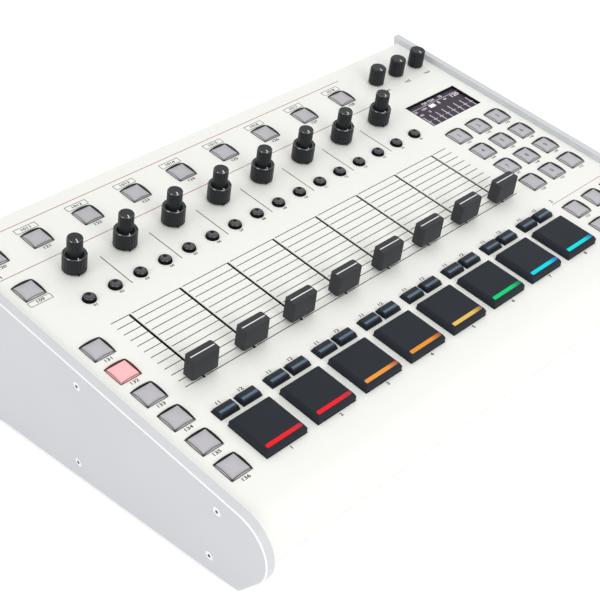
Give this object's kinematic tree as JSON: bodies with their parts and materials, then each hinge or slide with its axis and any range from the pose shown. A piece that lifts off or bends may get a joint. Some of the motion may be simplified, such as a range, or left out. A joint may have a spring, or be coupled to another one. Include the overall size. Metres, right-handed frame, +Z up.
{
  "type": "drum machine",
  "caption": "Desktop drum machine with a sloping white panel between silver side plates, with faders, twin knobs, lit pads, square buttons and a display.",
  "frame": {"origin": "middle of the part's box at the underside of the feet", "axes": "+Z up, +X to the player's right, +Y to the rear"},
  "size_m": [0.4414, 0.2944, 0.1229],
  "materials": {
    "panel_white": "fine satin powder coat",
    "plate_silver": "bead blasted and clear anodised",
    "base_grey": "zinc grey",
    "board_green": "solder mask",
    "part_steel": "plain steel cans",
    "tray_black": "moulded",
    "display_glass": "polished tinted window",
    "foot_rubber": "matt",
    "screw_steel": "bright zinc plate",
    "socket_black": "moulded",
    "rocker_black": "moulded",
    "button_smoke": "translucent, fine matt top",
    "knob_black": "ribbed, soft touch",
    "fader_grey": "fine spark texture",
    "bar_button_navy": "translucent dark",
    "pad_rubber": "smooth silicone"
  },
  "bodies": {
    "case": {"top_panel": "panel_white", "left_side_plate": "plate_silver", "right_side_plate": "plate_silver", "base_pan": "base_grey", "rear_panel": "panel_white", "circuit_boards": "board_green", "fader_bodies": "part_steel", "knob_pots": "part_steel", "pad_tray": "tray_black", "display_module": "board_green", "display_window": "display_glass", "rubber_feet": "foot_rubber", "side_screws": "screw_steel", "jack_sockets": "socket_black", "data_sockets": "socket_black", "power_inlet": "socket_black", "power_switch_housing": "socket_black"},
    "power_rocker": {"power_rocker": "rocker_black"},
    "function_buttons": {"function_buttons": "button_smoke"},
    "mode_buttons": {"mode_buttons": "button_smoke"},
    "keypad_buttons": {"keypad_buttons": "button_smoke"},
    "transport_buttons": {"transport_buttons": "button_smoke"},
    "step_buttons": {"step_buttons": "knob_black"},
    "mute_buttons": {"mute_buttons": "bar_button_navy"},
    "solo_buttons": {"solo_buttons": "bar_button_navy"},
    "level_knob_1": {"level_knob_1": "knob_black"},
    "level_knob_2": {"level_knob_2": "knob_black"},
    "level_knob_3": {"level_knob_3": "knob_black"},
    "fader_cap_1": {"fader_cap_1": "fader_grey"},
    "fader_cap_2": {"fader_cap_2": "fader_grey"},
    "fader_cap_3": {"fader_cap_3": "fader_grey"},
    "fader_cap_4": {"fader_cap_4": "fader_grey"},
    "fader_cap_5": {"fader_cap_5": "fader_grey"},
    "fader_cap_6": {"fader_cap_6": "fader_grey"},
    "fader_cap_7": {"fader_cap_7": "fader_grey"},
    "fader_cap_8": {"fader_cap_8": "fader_grey"},
    "lower_knob_1": {"lower_knob_1": "knob_black"},
    "upper_knob_1": {"upper_knob_1": "knob_black"},
    "lower_knob_2": {"lower_knob_2": "knob_black"},
    "upper_knob_2": {"upper_knob_2": "knob_black"},
    "lower_knob_3": {"lower_knob_3": "knob_black"},
    "upper_knob_3": {"upper_knob_3": "knob_black"},
    "lower_knob_4": {"lower_knob_4": "knob_black"},
    "upper_knob_4": {"upper_knob_4": "knob_black"},
    "lower_knob_5": {"lower_knob_5": "knob_black"},
    "upper_knob_5": {"upper_knob_5": "knob_black"},
    "lower_knob_6": {"lower_knob_6": "knob_black"},
    "upper_knob_6": {"upper_knob_6": "knob_black"},
    "lower_knob_7": {"lower_knob_7": "knob_black"},
    "upper_knob_7": {"upper_knob_7": "knob_black"},
    "lower_knob_8": {"lower_knob_8": "knob_black"},
    "upper_knob_8": {"upper_knob_8": "knob_black"},
    "drum_pad_1": {"drum_pad_1": "pad_rubber"},
    "drum_pad_2": {"drum_pad_2": "pad_rubber"},
    "drum_pad_3": {"drum_pad_3": "pad_rubber"},
    "drum_pad_4": {"drum_pad_4": "pad_rubber"},
    "drum_pad_5": {"drum_pad_5": "pad_rubber"},
    "drum_pad_6": {"drum_pad_6": "pad_rubber"},
    "drum_pad_7": {"drum_pad_7": "pad_rubber"},
    "drum_pad_8": {"drum_pad_8": "pad_rubber"}
  },
  "joints": [
    {"name": "power_rocker_tilt", "type": "hinge", "parent": "case", "child": "power_rocker", "pos_m": [-0.182, 0.13622, 0.0231], "axis": [1, 0, 0], "range_deg": [0, 16]},
    {"name": "function_buttons_press", "type": "slide", "parent": "case", "child": "function_buttons", "axis": [0, -0.1985, 0.9801], "range_m": [-0.0005, 0], "stiffness_N_per_m": 5000, "springref_m": 0.0005},
    {"name": "mode_buttons_press", "type": "slide", "parent": "case", "child": "mode_buttons", "axis": [0, -0.1985, 0.9801], "range_m": [-0.0005, 0], "stiffness_N_per_m": 3000, "springref_m": 0.0005},
    {"name": "keypad_buttons_press", "type": "slide", "parent": "case", "child": "keypad_buttons", "axis": [0, -0.1985, 0.9801], "range_m": [-0.0005, 0], "stiffness_N_per_m": 6000, "springref_m": 0.0005},
    {"name": "transport_buttons_press", "type": "slide", "parent": "case", "child": "transport_buttons", "axis": [0, -0.1985, 0.9801], "range_m": [-0.0005, 0], "stiffness_N_per_m": 3000, "springref_m": 0.0005},
    {"name": "step_buttons_press", "type": "slide", "parent": "case", "child": "step_buttons", "axis": [0, -0.1985, 0.9801], "range_m": [-0.0005, 0], "stiffness_N_per_m": 8000, "springref_m": 0.0005},
    {"name": "mute_buttons_press", "type": "slide", "parent": "case", "child": "mute_buttons", "axis": [0, -0.1985, 0.9801], "range_m": [-0.0005, 0], "stiffness_N_per_m": 4000, "springref_m": 0.0005},
    {"name": "solo_buttons_press", "type": "slide", "parent": "case", "child": "solo_buttons", "axis": [0, -0.1985, 0.9801], "range_m": [-0.0005, 0], "stiffness_N_per_m": 4000, "springref_m": 0.0005},
    {"name": "level_knob_1_turn", "type": "hinge", "parent": "case", "child": "level_knob_1", "pos_m": [0.15515, 0.11352, 0.10485], "axis": [0, -0.1985, 0.9801], "range_deg": [-325, 0]},
    {"name": "level_knob_2_turn", "type": "hinge", "parent": "case", "child": "level_knob_2", "pos_m": [0.1781, 0.11352, 0.10485], "axis": [0, -0.1985, 0.9801], "range_deg": [-325, 0]},
    {"name": "level_knob_3_turn", "type": "hinge", "parent": "case", "child": "level_knob_3", "pos_m": [0.20105, 0.11352, 0.10485], "axis": [0, -0.1985, 0.9801], "range_deg": [-325, 0]},
    {"name": "fader_1_slide", "type": "slide", "parent": "case", "child": "fader_cap_1", "axis": [0, 0.9801, 0.1985], "range_m": [0, 0.06]},
    {"name": "fader_2_slide", "type": "slide", "parent": "case", "child": "fader_cap_2", "axis": [0, 0.9801, 0.1985], "range_m": [0, 0.06]},
    {"name": "fader_3_slide", "type": "slide", "parent": "case", "child": "fader_cap_3", "axis": [0, 0.9801, 0.1985], "range_m": [0, 0.06]},
    {"name": "fader_4_slide", "type": "slide", "parent": "case", "child": "fader_cap_4", "axis": [0, 0.9801, 0.1985], "range_m": [0, 0.06]},
    {"name": "fader_5_slide", "type": "slide", "parent": "case", "child": "fader_cap_5", "axis": [0, 0.9801, 0.1985], "range_m": [0, 0.06]},
    {"name": "fader_6_slide", "type": "slide", "parent": "case", "child": "fader_cap_6", "axis": [0, 0.9801, 0.1985], "range_m": [0, 0.06]},
    {"name": "fader_7_slide", "type": "slide", "parent": "case", "child": "fader_cap_7", "axis": [0, 0.9801, 0.1985], "range_m": [0, 0.06]},
    {"name": "fader_8_slide", "type": "slide", "parent": "case", "child": "fader_cap_8", "axis": [0, 0.9801, 0.1985], "range_m": [0, 0.06]},
    {"name": "lower_knob_1_turn", "type": "hinge", "parent": "case", "child": "lower_knob_1", "pos_m": [-0.16335, 0.07706, 0.09746], "axis": [0, -0.1985, 0.9801], "range_deg": [-325, 0]},
    {"name": "upper_knob_1_turn", "type": "hinge", "parent": "case", "child": "upper_knob_1", "pos_m": [-0.16335, 0.07706, 0.09746], "axis": [0, -0.1985, 0.9801], "range_deg": [-325, 0]},
    {"name": "lower_knob_2_turn", "type": "hinge", "parent": "case", "child": "lower_knob_2", "pos_m": [-0.12335, 0.07706, 0.09746], "axis": [0, -0.1985, 0.9801], "range_deg": [-325, 0]},
    {"name": "upper_knob_2_turn", "type": "hinge", "parent": "case", "child": "upper_knob_2", "pos_m": [-0.12335, 0.07706, 0.09746], "axis": [0, -0.1985, 0.9801], "range_deg": [-325, 0]},
    {"name": "lower_knob_3_turn", "type": "hinge", "parent": "case", "child": "lower_knob_3", "pos_m": [-0.08335, 0.07706, 0.09746], "axis": [0, -0.1985, 0.9801], "range_deg": [-325, 0]},
    {"name": "upper_knob_3_turn", "type": "hinge", "parent": "case", "child": "upper_knob_3", "pos_m": [-0.08335, 0.07706, 0.09746], "axis": [0, -0.1985, 0.9801], "range_deg": [-325, 0]},
    {"name": "lower_knob_4_turn", "type": "hinge", "parent": "case", "child": "lower_knob_4", "pos_m": [-0.04335, 0.07706, 0.09746], "axis": [0, -0.1985, 0.9801], "range_deg": [-325, 0]},
    {"name": "upper_knob_4_turn", "type": "hinge", "parent": "case", "child": "upper_knob_4", "pos_m": [-0.04335, 0.07706, 0.09746], "axis": [0, -0.1985, 0.9801], "range_deg": [-325, 0]},
    {"name": "lower_knob_5_turn", "type": "hinge", "parent": "case", "child": "lower_knob_5", "pos_m": [-0.00335, 0.07706, 0.09746], "axis": [0, -0.1985, 0.9801], "range_deg": [-325, 0]},
    {"name": "upper_knob_5_turn", "type": "hinge", "parent": "case", "child": "upper_knob_5", "pos_m": [-0.00335, 0.07706, 0.09746], "axis": [0, -0.1985, 0.9801], "range_deg": [-325, 0]},
    {"name": "lower_knob_6_turn", "type": "hinge", "parent": "case", "child": "lower_knob_6", "pos_m": [0.03665, 0.07706, 0.09746], "axis": [0, -0.1985, 0.9801], "range_deg": [-325, 0]},
    {"name": "upper_knob_6_turn", "type": "hinge", "parent": "case", "child": "upper_knob_6", "pos_m": [0.03665, 0.07706, 0.09746], "axis": [0, -0.1985, 0.9801], "range_deg": [-325, 0]},
    {"name": "lower_knob_7_turn", "type": "hinge", "parent": "case", "child": "lower_knob_7", "pos_m": [0.07665, 0.07706, 0.09746], "axis": [0, -0.1985, 0.9801], "range_deg": [-325, 0]},
    {"name": "upper_knob_7_turn", "type": "hinge", "parent": "case", "child": "upper_knob_7", "pos_m": [0.07665, 0.07706, 0.09746], "axis": [0, -0.1985, 0.9801], "range_deg": [-325, 0]},
    {"name": "lower_knob_8_turn", "type": "hinge", "parent": "case", "child": "lower_knob_8", "pos_m": [0.11665, 0.07706, 0.09746], "axis": [0, -0.1985, 0.9801], "range_deg": [-325, 0]},
    {"name": "upper_knob_8_turn", "type": "hinge", "parent": "case", "child": "upper_knob_8", "pos_m": [0.11665, 0.07706, 0.09746], "axis": [0, -0.1985, 0.9801], "range_deg": [-325, 0]},
    {"name": "drum_pad_1_press", "type": "slide", "parent": "case", "child": "drum_pad_1", "axis": [0, -0.1985, 0.9801], "range_m": [-0.0008, 0], "stiffness_N_per_m": 3000, "springref_m": 0.0005},
    {"name": "drum_pad_2_press", "type": "slide", "parent": "case", "child": "drum_pad_2", "axis": [0, -0.1985, 0.9801], "range_m": [-0.0008, 0], "stiffness_N_per_m": 3000, "springref_m": 0.0005},
    {"name": "drum_pad_3_press", "type": "slide", "parent": "case", "child": "drum_pad_3", "axis": [0, -0.1985, 0.9801], "range_m": [-0.0008, 0], "stiffness_N_per_m": 3000, "springref_m": 0.0005},
    {"name": "drum_pad_4_press", "type": "slide", "parent": "case", "child": "drum_pad_4", "axis": [0, -0.1985, 0.9801], "range_m": [-0.0008, 0], "stiffness_N_per_m": 3000, "springref_m": 0.0005},
    {"name": "drum_pad_5_press", "type": "slide", "parent": "case", "child": "drum_pad_5", "axis": [0, -0.1985, 0.9801], "range_m": [-0.0008, 0], "stiffness_N_per_m": 3000, "springref_m": 0.0005},
    {"name": "drum_pad_6_press", "type": "slide", "parent": "case", "child": "drum_pad_6", "axis": [0, -0.1985, 0.9801], "range_m": [-0.0008, 0], "stiffness_N_per_m": 3000, "springref_m": 0.0005},
    {"name": "drum_pad_7_press", "type": "slide", "parent": "case", "child": "drum_pad_7", "axis": [0, -0.1985, 0.9801], "range_m": [-0.0008, 0], "stiffness_N_per_m": 3000, "springref_m": 0.0005},
    {"name": "drum_pad_8_press", "type": "slide", "parent": "case", "child": "drum_pad_8", "axis": [0, -0.1985, 0.9801], "range_m": [-0.0008, 0], "stiffness_N_per_m": 3000, "springref_m": 0.0005}
  ]
}
